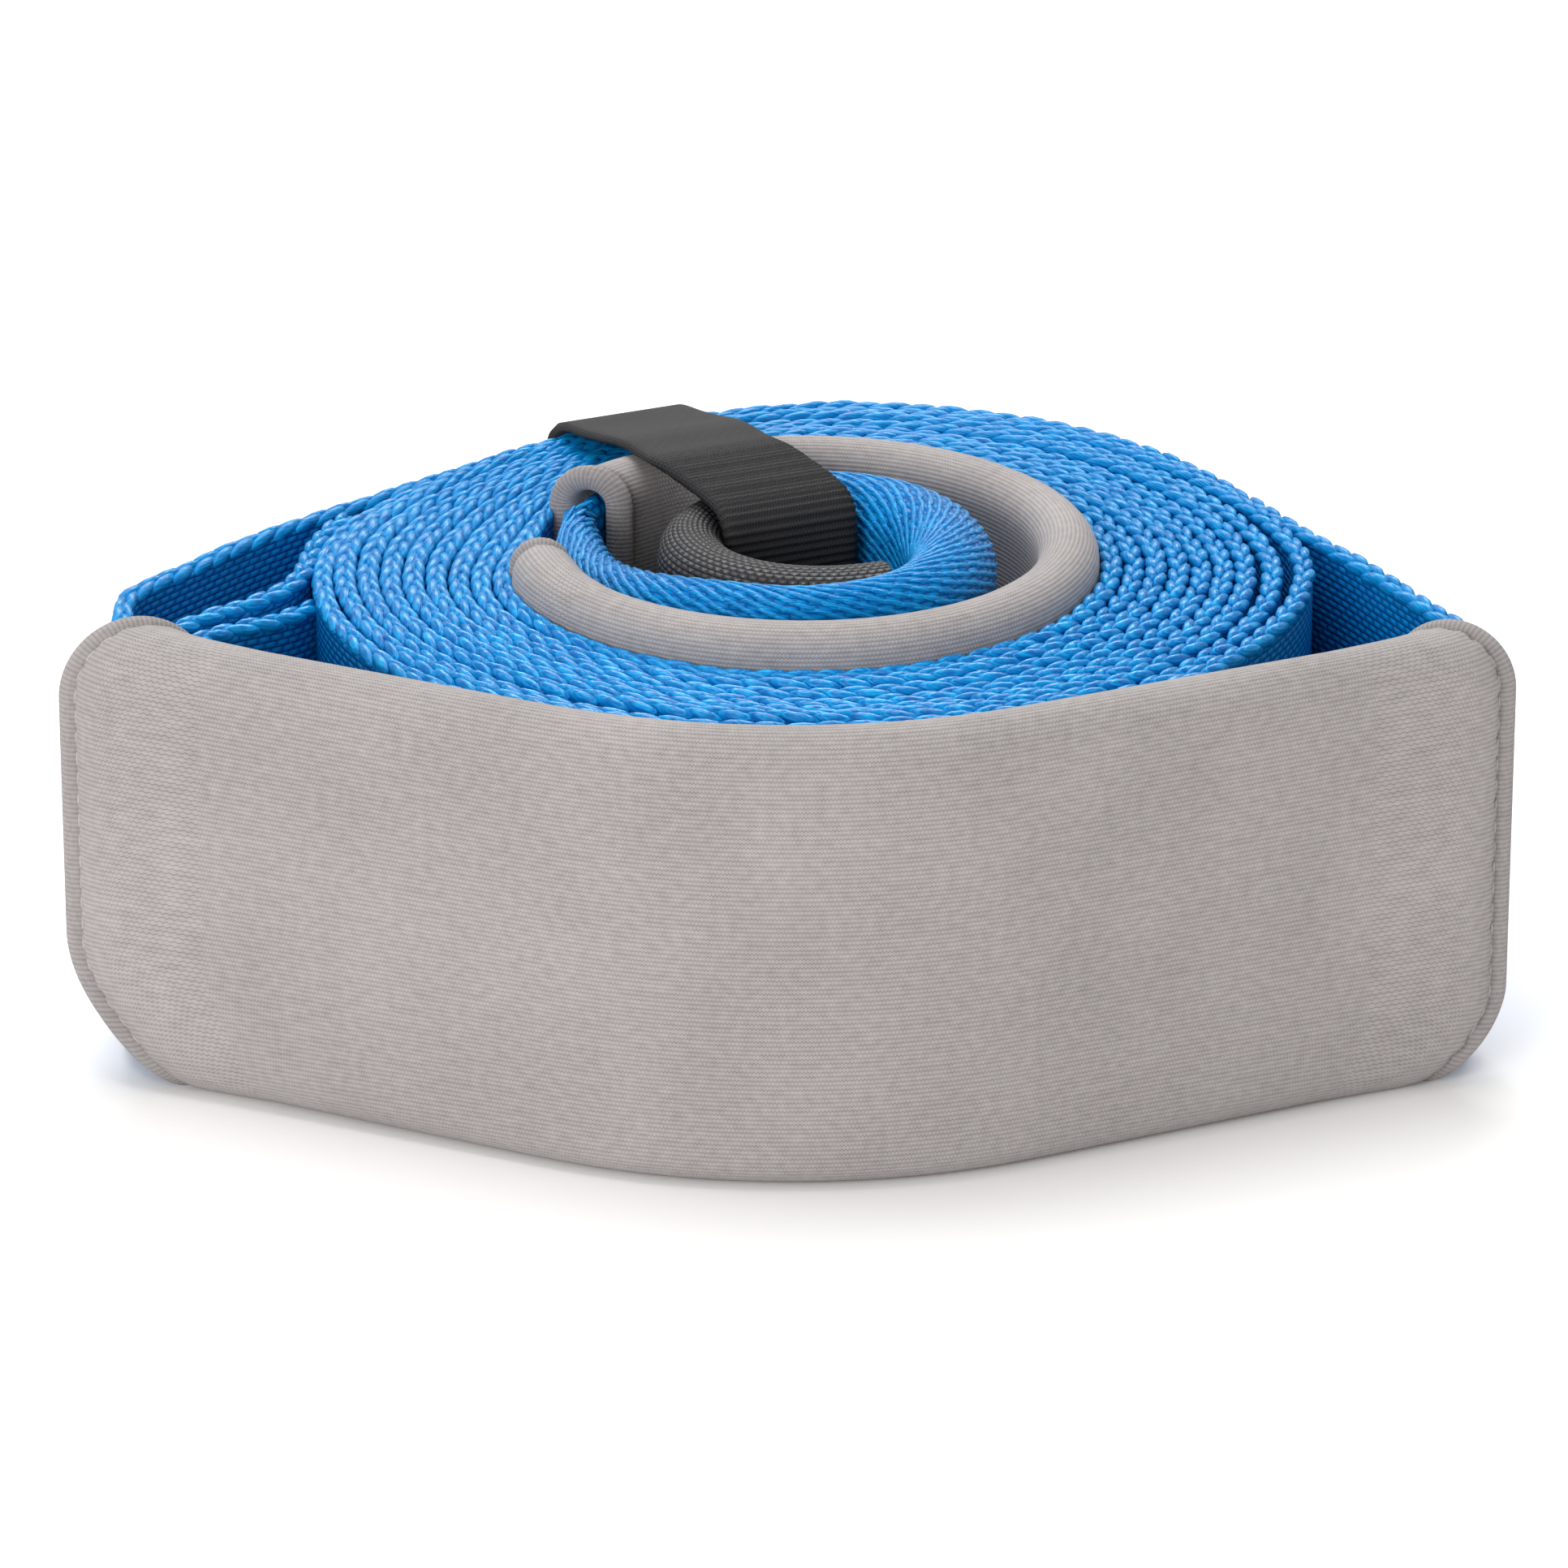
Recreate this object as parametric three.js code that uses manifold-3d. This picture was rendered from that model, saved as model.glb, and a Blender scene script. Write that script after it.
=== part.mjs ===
// Tree saver strap, rolled up: one long webbing strap with a sewn eye at each end, two padded
// sleeves that slide on it, a woven cover on each eye and a hook-and-loop tie round the roll.
// Millimetres, +Z up. The roll lies flat, and the origin is under the middle of its box.

import * as THREE from 'three';
import { mergeVertices } from 'three/addons/utils/BufferGeometryUtils.js';
import Module from 'manifold-3d';

const wasm = await Module();
wasm.setup();

// Webbing
const webWidth = 75;
const webThickness = 3.8;
const turnGap = 0.2; // air between two turns of the roll
const foldedWidth = 37; // the webbing folded lengthwise in two, before each eye
const foldedThickness = 7.8;
const clearance = 0.3; // between pieces that touch

// Roll
const turns = 9;
const rollBottom = 4; // the sleeves pass under the webbing and lift the roll
const grooveDepth = 1.2; // the rounded edges of two turns leave a groove between them

// Padded sleeves
const sleeveWall = 3;
const sleeveHeight = 84;

// Inner sleeve, wrapped round a gap in the middle of the roll
const boreRadius = 42;
const innerSleeveThickness = 11;
const innerSleeveHeight = 82.5;
const innerSleeveStart = 197; // degrees round the roll, seen from above
const innerSleeveEnd = 505;

// Front sleeve, on the loose outer turn: how far each mouth reaches to the side, how thick it is,
// and how far in front of the roll's middle the sleeve leaves the roll
const rightReach = 128.6;
const rightMouthThickness = 23;
const leftReach = 133;
const leftMouthThickness = 27;
const mouthDepth = 38;

// Inner eye, which stands a little above the roll, and its cover
const foldedBottom = 50;
const eyeDrop = 1.5; // the eye lies lower than the folded webbing that runs into it
const coverWall = 1.4;

// Hook-and-loop tie
const tieWidth = 25;
const tieThickness = 2;
const tieAzimuth = 115;
const tieInnerRadius = 2.5;

// Worked out from the values above
const turnPitch = webThickness + turnGap;
const innerSleeveOuter = boreRadius + innerSleeveThickness;
const rollBore = innerSleeveOuter + clearance;
const rollRadius = rollBore + turns * turnPitch - turnGap;
const rollTop = rollBottom + webWidth;
const frontInner = rollRadius + clearance;
const frontOuter = frontInner + 2 * sleeveWall + 2 * clearance + webThickness;
const frontStrip = (frontInner + frontOuter) / 2;
const hugRadius = rollRadius + clearance + webThickness / 2; // a loose ply against the roll
const innerSleeveBottom = tieThickness + 2 * clearance;
const innerStripRadius = boreRadius + innerSleeveThickness / 2;
const innerStripBottom = innerSleeveBottom + (innerSleeveHeight - webWidth) / 2;
const outerFoldLift = 27; // the outer end's folded webbing lies this far up the roll

const degrees = THREE.MathUtils.degToRad;

/** A point of the plan at an angle on a circle round a centre. */
function polar(angle, radius, centre = new THREE.Vector2()) {
  return new THREE.Vector2(Math.cos(degrees(angle)), Math.sin(degrees(angle)))
    .multiplyScalar(radius).add(centre);
}

/** Points of an arc, both ends included. */
function arc(from, to, radius, centre, step = 9) {
  const count = Math.max(1, Math.ceil(Math.abs(to - from) / step));
  return Array.from({ length: count + 1 }, (_, i) => polar(from + ((to - from) * i) / count, radius, centre));
}

/** Angle at which a clockwise belt leaves circle a for circle b, along their outer tangent. */
function tangentAngle(a, b) {
  const line = b.centre.clone().sub(a.centre);
  return THREE.MathUtils.radToDeg(line.angle() + Math.acos((a.radius - b.radius) / line.length()));
}

/** A clockwise belt round circles, from one angle on the first to another on the last. */
function belt(circles, from, to, step) {
  const points = [];
  let start = from;
  circles.forEach((circle, i) => {
    const next = circles[i + 1];
    let end = next ? tangentAngle(circle, next) : to;
    while (end > start) end -= 360;
    points.push(...arc(start, end, circle.radius, circle.centre, step));
    start = end;
  });
  return points;
}

/** Cuts long steps of a line in the plan into shorter ones. */
function refine(points, longest) {
  return points.slice(1).reduce((line, point) => {
    const last = line[line.length - 1];
    const count = Math.ceil(last.distanceTo(point) / longest);
    for (let i = 1; i <= count; i += 1) line.push(last.clone().lerp(point, i / count));
    return line;
  }, [points[0]]);
}

/** Unit vectors to the left of a line's way at each of its points. */
function normals(points) {
  return points.map((_, i) => {
    const before = points[Math.max(i - 1, 0)];
    const after = points[Math.min(i + 1, points.length - 1)];
    const way = after.clone().sub(before).normalize();
    return new THREE.Vector2(-way.y, way.x);
  });
}

/** Share of the way along a line at each of its points. */
function shares(points) {
  const lengths = points.map(() => 0);
  for (let i = 1; i < points.length; i += 1) {
    lengths[i] = lengths[i - 1] + points[i].distanceTo(points[i - 1]);
  }
  return lengths.map((length) => length / lengths[points.length - 1]);
}

/** A line's section at each point: left and right edges in the plan, and bottom and top. */
function ribbon(points, sizeAt) {
  const sides = normals(points);
  const along = shares(points);
  return points.map((point, i) => {
    const { thickness, bottom, height } = sizeAt(along[i], point);
    return {
      left: point.clone().addScaledVector(sides[i], thickness / 2),
      right: point.clone().addScaledVector(sides[i], -thickness / 2),
      bottom,
      top: bottom + height,
    };
  });
}

/** Corners of one rounded section as points in space, inset from its outer size. */
function sectionRing({ left, right, bottom, top }, inset, cornerShare) {
  const across = right.clone().sub(left);
  const width = across.length() - 2 * inset;
  across.normalize();
  const radius = Math.max(width * cornerShare, 0);
  const low = bottom + inset;
  const high = top - inset;
  const corners = [
    [inset + radius, low + radius, 180], [inset + width - radius, low + radius, 270],
    [inset + width - radius, high - radius, 0], [inset + radius, high - radius, 90],
  ];
  const steps = radius > 0 ? [0, 45, 90] : [0];
  return corners.flatMap(([u, z, angle]) => steps.map((step) => {
    const turn = degrees(angle + step);
    const place = left.clone().addScaledVector(across, u + radius * Math.cos(turn));
    return [place.x, place.y, z + radius * Math.sin(turn)];
  }));
}

/** A closed body through rings of points, hollow where inner rings are given. */
function skin(outer, inner) {
  const points = [...outer, ...(inner ?? [])].flat(2);
  const size = outer[0].length;
  const faces = [];
  const quad = (a, b, c, d) => faces.push(a, b, c, a, c, d);
  const wrap = (first, flip) => {
    for (let i = 0; i < outer.length - 1; i += 1) {
      for (let j = 0; j < size; j += 1) {
        const a = first + i * size + j;
        const b = first + i * size + ((j + 1) % size);
        if (flip) quad(a, a + size, b + size, b);
        else quad(a, b, b + size, a + size);
      }
    }
  };
  wrap(0, false);
  const hollow = outer.length * size;
  if (inner) wrap(hollow, true);
  [0, outer.length - 1].forEach((end) => {
    const first = end === 0;
    for (let j = 0; j < size; j += 1) {
      const a = end * size + j;
      const b = end * size + ((j + 1) % size);
      if (inner && first) quad(a, hollow + a, hollow + b, b);
      else if (inner) quad(a, b, hollow + b, hollow + a);
      else if (j > 0 && j < size - 1) faces.push(...(first ? [end * size, b, a] : [end * size, a, b]));
    }
  });
  const geometry = new THREE.BufferGeometry();
  geometry.setAttribute('position', new THREE.Float32BufferAttribute(points, 3));
  geometry.setIndex(faces);
  return geometry;
}

/** Whether a closed mesh is inside out. */
function isInsideOut(geometry) {
  const { position } = geometry.attributes;
  const index = geometry.index.array;
  const [a, b, c] = [new THREE.Vector3(), new THREE.Vector3(), new THREE.Vector3()];
  let volume = 0;
  for (let i = 0; i < index.length; i += 3) {
    a.fromBufferAttribute(position, index[i]);
    b.fromBufferAttribute(position, index[i + 1]);
    c.fromBufferAttribute(position, index[i + 2]);
    volume += a.dot(b.cross(c));
  }
  return volume < 0;
}

/** The same mesh with its faces pointing out. */
function outward(geometry) {
  if (isInsideOut(geometry)) {
    const index = geometry.index.array;
    for (let i = 0; i < index.length; i += 3) [index[i], index[i + 1]] = [index[i + 1], index[i]];
  }
  return geometry;
}

/** A tube or a full bar through sections; corners are rounded by a share of the thickness. */
function loft(sections, { wall = 0, corner = 0, wallCorner = 0.001 } = {}) {
  const outer = sections.map((section) => sectionRing(section, 0, corner));
  const inner = wall > 0 ? sections.map((section) => sectionRing(section, wall, wallCorner)) : null;
  return outward(skin(outer, inner));
}

/** A manifold solid from a closed mesh. */
function solidOf(geometry) {
  const plain = geometry.clone();
  ['normal', 'uv'].forEach((name) => plain.deleteAttribute(name));
  const merged = mergeVertices(plain, 1e-4);
  return new wasm.Manifold(new wasm.Mesh({
    numProp: 3,
    vertProperties: new Float32Array(merged.attributes.position.array),
    triVerts: new Uint32Array(merged.index.array),
  }));
}

/** A three.js mesh's geometry from a manifold solid. */
function geometryOf(solid) {
  const { vertProperties, triVerts } = solid.getMesh();
  const geometry = new THREE.BufferGeometry();
  geometry.setAttribute('position', new THREE.BufferAttribute(new Float32Array(vertProperties), 3));
  geometry.setIndex(new THREE.BufferAttribute(new Uint32Array(triVerts), 1));
  return geometry;
}

/** A number that goes smoothly from one value to another between two places. */
function ease(x, from, to, start, end) {
  return THREE.MathUtils.lerp(start, end, THREE.MathUtils.smoothstep(x, from, to));
}

// The close turns: a turned ring whose ends show each turn's rounded edge
function rollGeometry() {
  const edge = Array.from({ length: turns }, (_, i) => [
    new THREE.Vector2(rollBore + i * turnPitch, grooveDepth),
    new THREE.Vector2(rollBore + i * turnPitch + webThickness / 2, 0),
  ]).flat();
  edge.push(new THREE.Vector2(rollRadius, grooveDepth));
  const lower = edge.map((point) => new THREE.Vector2(point.x, rollBottom + point.y));
  const upper = edge.map((point) => new THREE.Vector2(point.x, rollTop - point.y)).reverse();
  const profile = [...lower, ...upper, lower[0].clone()];
  return outward(mergeVertices(new THREE.LatheGeometry(profile, 40).rotateX(Math.PI / 2)));
}

// Circles that the loose outer turn is laid round, in the plan
const origin = new THREE.Vector2();
const circle = (x, y, radius) => ({ centre: new THREE.Vector2(x, y), radius });
const rightBend = circle(rightReach - 24, -mouthDepth, 13);
const leftFrontBend = circle(26.4 - leftReach, -mouthDepth, 15.5);
const leftBackBend = circle(21.9 - leftReach, 18 - mouthDepth, 13);
const mouthTurn = 30; // degrees in front of each side at which the sleeve's outer wall ends
const rightMouth = circle(rightReach - 15.6, -mouthDepth, 18);
const rightMouthInside = circle(rightReach - rightMouthThickness - 12, -mouthDepth - 1, 12);
const leftMouth = circle(17.3 - leftReach, 2 - mouthDepth, 20);
const leftMouthInside = circle(leftMouthThickness + 14 - leftReach, 1 - mouthDepth, 14);
const foldAngle = 138; // where the outer end turns back on itself, behind the roll's left side
const foldRadius = (webThickness + clearance) / 2;
const leaveRadius = rollRadius - webThickness / 2 - turnGap;

/** Plan line of the loose outer turn, from the roll's back round the front to the fold. */
function outerTurnLine() {
  const leave = arc(112, 64, 1, origin, 8).map((point, i, all) => (
    point.multiplyScalar(ease(i, 0, all.length - 1, leaveRadius, hugRadius))));
  const loop = belt([
    { centre: origin, radius: hugRadius }, rightBend, { centre: origin, radius: frontStrip },
    leftFrontBend, leftBackBend, { centre: origin, radius: hugRadius + 2 * foldRadius },
  ], 60, foldAngle, 12);
  return refine([...leave, ...loop], 14);
}

/** Plan line of the outer end: the fold, the ply on the roll's left and the end in the sleeve. */
function outerEndLine() {
  const fold = arc(foldAngle, foldAngle - 180, foldRadius, polar(foldAngle, hugRadius + foldRadius), 30);
  const hug = arc(foldAngle + 4, 176, hugRadius, origin);
  const tuck = new THREE.SplineCurve([
    polar(176, hugRadius), polar(183, hugRadius + 0.5), polar(190, hugRadius + 6),
    new THREE.Vector2(leftFrontBend.centre.x - 6.6, leftFrontBend.centre.y + 4),
    new THREE.Vector2(leftFrontBend.centre.x - 5.4, leftFrontBend.centre.y - 6),
  ]);
  return [...fold, ...hug, ...tuck.getSpacedPoints(12).slice(1)];
}

/** Plan line of the inner end: from the innermost turn through the inner sleeve to the eye. */
function innerLine() {
  const join = arc(120, innerSleeveStart - 3, 1, origin, 8).map((point, i, all) => (
    point.multiplyScalar(ease(i, 3, all.length - 1, rollBore + webThickness / 2 + turnGap, innerStripRadius))));
  return [...join, ...arc(innerSleeveStart, innerSleeveEnd - 5, innerStripRadius, origin)];
}

// The folded strap and the eye wind on inwards: angle round the roll, and distance out from it
const foldedRadius = boreRadius - foldedThickness / 2 - 2 * clearance; // lies against the sleeve
const foldedRoute = [
  [500, innerStripRadius], [512, innerStripRadius - 0.3], [525, innerStripRadius - 3.5],
  [540, boreRadius - 1.5], [557, foldedRadius], [590, foldedRadius], [630, foldedRadius],
  [660, 34.5], [690, 29.5], [720, 26], [750, 24], [780, 22.5], [810, 21.4],
];
const eyeRoute = [
  [835, 20.6], [860, 20], [880, 20], [900, 20.4], [925, 21.5], [950, 23], [980, 25], [1005, 26], [1025, 26.6],
];
const coverStart = 0.08; // shares of the eye's length between which the cover lies
const coverEnd = 0.86;

/** A smooth plan line through points given round the roll's centre. */
function routeLine(stops, count) {
  return new THREE.SplineCurve(stops.map(([angle, radius]) => polar(angle, radius))).getSpacedPoints(count);
}

const eyeLine = routeLine([foldedRoute[foldedRoute.length - 1], ...eyeRoute], 36);
const eyeBottom = foldedBottom - eyeDrop;
const eyeHeight = foldedWidth - 1;
const coverThickness = foldedThickness + 2 * (clearance + coverWall);

/** Size of a section, changed smoothly from one to another as the share goes from 0 to 1. */
function blend(a, b, share) {
  return Object.fromEntries(Object.keys(a).map((key) => [key, ease(share, 0, 1, a[key], b[key])]));
}

// Strap: the close turns with the loose ends joined to them
function strapGeometry() {
  const flat = { thickness: webThickness, bottom: rollBottom, height: webWidth };
  const raised = { ...flat, bottom: innerStripBottom };
  const folded = { thickness: foldedThickness, bottom: foldedBottom, height: foldedWidth };
  const eye = { ...folded, bottom: eyeBottom, height: eyeHeight };
  const outerFolded = { ...folded, bottom: rollBottom + outerFoldLift };
  const gathered = { ...folded, bottom: innerStripBottom + webWidth - foldedWidth };
  const parts = [
    ribbon(outerTurnLine(), () => flat),
    ribbon(outerEndLine(), (share) => blend(flat, outerFolded, (share - 0.6) / 0.2)),
    ribbon(innerLine(), (share) => blend(flat, raised, share / 0.12)),
    ribbon(routeLine(foldedRoute, 46), (share) => (
      blend(blend(raised, gathered, (share - 0.06) / 0.05), folded, (share - 0.08) / 0.25))),
    ribbon(eyeLine, () => eye),
  ];
  return geometryOf(parts.map((sections) => solidOf(loft(sections)))
    .reduce((whole, piece) => whole.add(piece), solidOf(rollGeometry())));
}

// Front sleeve: the wall that faces the roll and the outer wall each follow a line of their own
function frontSleeveGeometry() {
  const line = (right, radius, left, from, to) => new THREE.Path(
    belt([right, { centre: origin, radius }, left], from, to, 6),
  ).getSpacedPoints(46);
  const outer = line(rightMouth, frontOuter, leftMouth, -mouthTurn, mouthTurn - 180);
  const inner = line(rightMouthInside, frontInner, leftMouthInside, 0, -180);
  const sections = outer.map((point, i) => ({ left: inner[i], right: point, bottom: 0, top: sleeveHeight }));
  return loft(sections, { wall: sleeveWall, corner: 0.42, wallCorner: 0.15 });
}

function innerSleeveGeometry() {
  const line = arc(innerSleeveStart, innerSleeveEnd, innerStripRadius, origin, 8);
  const size = { thickness: innerSleeveThickness, bottom: innerSleeveBottom, height: innerSleeveHeight };
  return loft(ribbon(line, () => size), { wall: sleeveWall, corner: 0.42, wallCorner: 0.15 });
}

function eyeCoverGeometry() {
  const count = eyeLine.length - 1;
  const line = eyeLine.slice(Math.round(coverStart * count), Math.round(coverEnd * count) + 1);
  const size = {
    thickness: coverThickness,
    bottom: eyeBottom - clearance - coverWall,
    height: eyeHeight + 2 * (clearance + coverWall),
  };
  return loft(ribbon(line, () => size), { wall: coverWall, corner: 0.3, wallCorner: 0.02 });
}

/** An outline in the plane pushed out by a distance, corners kept sharp; points run anticlockwise. */
function offsetOutline(points, distance) {
  return points.map((point, i) => {
    const into = point.clone().sub(points[(i + points.length - 1) % points.length]).normalize();
    const out = points[(i + 1) % points.length].clone().sub(point).normalize();
    const sides = [into, out].map((way) => new THREE.Vector2(way.y, -way.x));
    const miter = sides[0].clone().add(sides[1]).normalize();
    return point.clone().addScaledVector(miter, distance / miter.dot(sides[0]));
  });
}

// Tie: a band right round the roll's section, through its middle and the eye
function tieGeometry() {
  const innerFace = tieInnerRadius + tieThickness;
  const outerFace = rollRadius + clearance;
  const foldedTop = foldedBottom + foldedWidth + clearance;
  const sleeveTop = innerSleeveBottom + innerSleeveHeight + clearance;
  const inside = [
    [innerFace, tieThickness], [outerFace, tieThickness], [outerFace, rollTop + clearance],
    [innerSleeveOuter + turnPitch, rollTop + clearance], [innerSleeveOuter - 1, sleeveTop],
    [boreRadius, sleeveTop], [boreRadius - innerSleeveThickness - 1, foldedTop], [innerFace, foldedTop],
  ].map(([radius, z]) => new THREE.Vector2(radius, z));
  const shape = new THREE.Shape(offsetOutline(inside, tieThickness));
  shape.holes.push(new THREE.Path(inside));
  return outward(mergeVertices(
    new THREE.ExtrudeGeometry(shape, { depth: tieWidth, bevelEnabled: false })
      .deleteAttribute('normal').deleteAttribute('uv')
      .translate(0, 0, -tieWidth / 2).rotateX(Math.PI / 2).rotateZ(degrees(tieAzimuth)),
  ));
}

const finishes = {
  webbing: { color: 0x1f86d6, roughness: 0.45, metalness: 0 },
  neoprene: { color: 0xa39e9b, roughness: 0.9, metalness: 0 },
  eyeCover: { color: 0x1c1c1f, roughness: 0.8, metalness: 0 },
  tie: { color: 0x3a3838, roughness: 0.85, metalness: 0 },
};

const pieces = {
  webbing_strap: [strapGeometry, finishes.webbing],
  front_sleeve: [frontSleeveGeometry, finishes.neoprene],
  inner_sleeve: [innerSleeveGeometry, finishes.neoprene],
  inner_eye_cover: [eyeCoverGeometry, finishes.eyeCover],
  hook_and_loop_tie: [tieGeometry, finishes.tie],
};

const group = new THREE.Group();
Object.entries(pieces).forEach(([name, [geometry, finish]]) => {
  const mesh = new THREE.Mesh(geometry(), new THREE.MeshStandardMaterial(finish));
  mesh.name = name;
  group.add(mesh);
});

// The origin goes under the middle of the whole roll's box
const box = new THREE.Box3().setFromObject(group, true);
const middle = box.getCenter(new THREE.Vector3()).setZ(box.min.z);
group.children.forEach((mesh) => mesh.position.sub(middle));

export default group;
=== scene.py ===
"""Looks of a rolled tree saver strap: webbing, padded sleeves, eye cover and tie.

Every size is in millimetres in the classes below and becomes metres where a mesh is made. The roll's
own centre is the origin of the plan lines; Layout moves them to the frame.
"""

import logging
import math
from dataclasses import dataclass
from functools import partialmethod
from typing import Callable, Sequence

import bpy
import numpy as np
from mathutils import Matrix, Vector


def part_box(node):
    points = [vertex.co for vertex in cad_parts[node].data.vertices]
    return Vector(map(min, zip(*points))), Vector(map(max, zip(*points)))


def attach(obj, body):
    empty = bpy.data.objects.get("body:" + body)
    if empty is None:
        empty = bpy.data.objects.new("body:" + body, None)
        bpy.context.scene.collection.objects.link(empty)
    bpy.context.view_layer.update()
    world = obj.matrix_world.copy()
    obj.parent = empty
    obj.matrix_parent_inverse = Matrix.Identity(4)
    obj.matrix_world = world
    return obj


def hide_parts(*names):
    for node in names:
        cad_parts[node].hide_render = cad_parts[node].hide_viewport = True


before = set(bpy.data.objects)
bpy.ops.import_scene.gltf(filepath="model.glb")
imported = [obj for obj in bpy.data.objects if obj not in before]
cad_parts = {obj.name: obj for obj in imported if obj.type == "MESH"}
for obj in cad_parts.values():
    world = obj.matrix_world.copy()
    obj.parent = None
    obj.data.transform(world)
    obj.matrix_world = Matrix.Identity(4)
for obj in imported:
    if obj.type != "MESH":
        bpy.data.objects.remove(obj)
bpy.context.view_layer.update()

MM = 0.001
LOG = logging.getLogger("strap")
Array = np.ndarray
Piece = bpy.types.Object
Pair = tuple[float, float]
Triple = tuple[float, float, float]
Stops = tuple[Pair, ...]


def polar(angle: float, radius: float, centre: Sequence[float] = (0.0, 0.0)) -> Array:
    """A plan point at an angle in degrees on a circle."""
    turn = math.radians(angle)
    return np.array([centre[0] + radius * math.cos(turn), centre[1] + radius * math.sin(turn)])


def trace(angles: Array, radii: Array) -> Array:
    """Plan points at angles in degrees round the origin and distances from it."""
    return np.array([polar(angle, radius) for angle, radius in zip(angles, radii)])


def smooth(x: Array, start: float, end: float) -> Array:
    """A smooth step from 0 at start to 1 at end."""
    t = np.clip((np.asarray(x, float) - start) / (end - start), 0.0, 1.0)
    return t * t * (3.0 - 2.0 * t)


def hump(x: Array, centre: float, width: float) -> Array:
    """A smooth bell of height 1 round a centre."""
    return np.exp(-(((np.asarray(x, float) - centre) / width) ** 2))


def travelled(points: Array) -> Array:
    """Distance along a row of points, from its first one."""
    return np.r_[0.0, np.cumsum(np.linalg.norm(np.diff(points, axis=0), axis=1))]


def unit(rows: Array) -> Array:
    """Each row at length 1."""
    return rows / np.linalg.norm(rows, axis=1)[:, None]


@dataclass(frozen=True)
class Circle:
    """A circle of the plan that a loose stretch of webbing is laid round."""

    x: float
    y: float
    radius: float

    def leave(self, other: "Circle") -> float:
        """Angle in degrees, the same on both, at which a clockwise belt leaves for another circle."""
        dx, dy = other.x - self.x, other.y - self.y
        return math.degrees(math.atan2(dy, dx) + math.acos((self.radius - other.radius) / math.hypot(dx, dy)))


def arc(start: float, end: float, radius: float, centre: Sequence[float] = (0.0, 0.0), step: float = 3.0) -> Array:
    """Points of an arc in the plan, both ends included."""
    count = max(1, math.ceil(abs(end - start) / step))
    return np.array([polar(start + (end - start) * i / count, radius, centre) for i in range(count + 1)])


def belt(circles: Sequence[Circle], start: float, end: float) -> Array:
    """Plan points of a clockwise belt round circles, from an angle on the first to one on the last."""
    points = []
    for index, circle in enumerate(circles):
        last = index + 1 == len(circles)
        stop = end if last else circle.leave(circles[index + 1])
        while stop > start:
            stop -= 360.0
        points.append(arc(start, stop, circle.radius, (circle.x, circle.y)))
        start = stop
    return np.vstack(points)


class PlanLine:
    """A line in the plan that a straight piece is bent along."""

    def __init__(self, points: Array, step: float = 1.5, relax: int = 0) -> None:
        """Resamples the points evenly, and rounds their corners a little.

        Args:
            points: Plan points in millimetres.
            step: Distance between the line's own samples.
            relax: Times that each sample is averaged with its neighbours.
        """
        points = points[np.r_[True, np.diff(travelled(points)) > 1e-6]]
        along = travelled(points)
        count = max(2, int(along[-1] / step))
        wanted = np.linspace(0.0, along[-1], count + 1)
        self.points = np.column_stack([np.interp(wanted, along, points[:, i]) for i in (0, 1)])
        for _ in range(relax):
            self.points[1:-1] = (self.points[:-2] + 2 * self.points[1:-1] + self.points[2:]) / 4
        self.along = travelled(self.points)
        way = unit(np.gradient(self.points, axis=0))
        self.side = np.column_stack([-way[:, 1], way[:, 0]])

    @property
    def length(self) -> float:
        """The line's length in millimetres."""
        return float(self.along[-1])

    def place(self, along: Array, across: Array) -> Array:
        """Plan points at distances along the line and to its left."""
        at = [np.interp(along, self.along, self.points[:, i]) for i in (0, 1)]
        side = [np.interp(along, self.along, self.side[:, i]) for i in (0, 1)]
        return np.column_stack([at[0] + side[0] * across, at[1] + side[1] * across])

    @classmethod
    def route(cls, stops: Stops, relax: int = 12) -> "PlanLine":
        """A smooth line through stops given as an angle round the roll and a distance from it."""
        angles, radii = np.array(stops, float).T
        fine = np.arange(angles[0], angles[-1] + 0.01, 2.0)
        return cls(trace(fine, np.interp(fine, angles, radii)), relax=relax)


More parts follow.
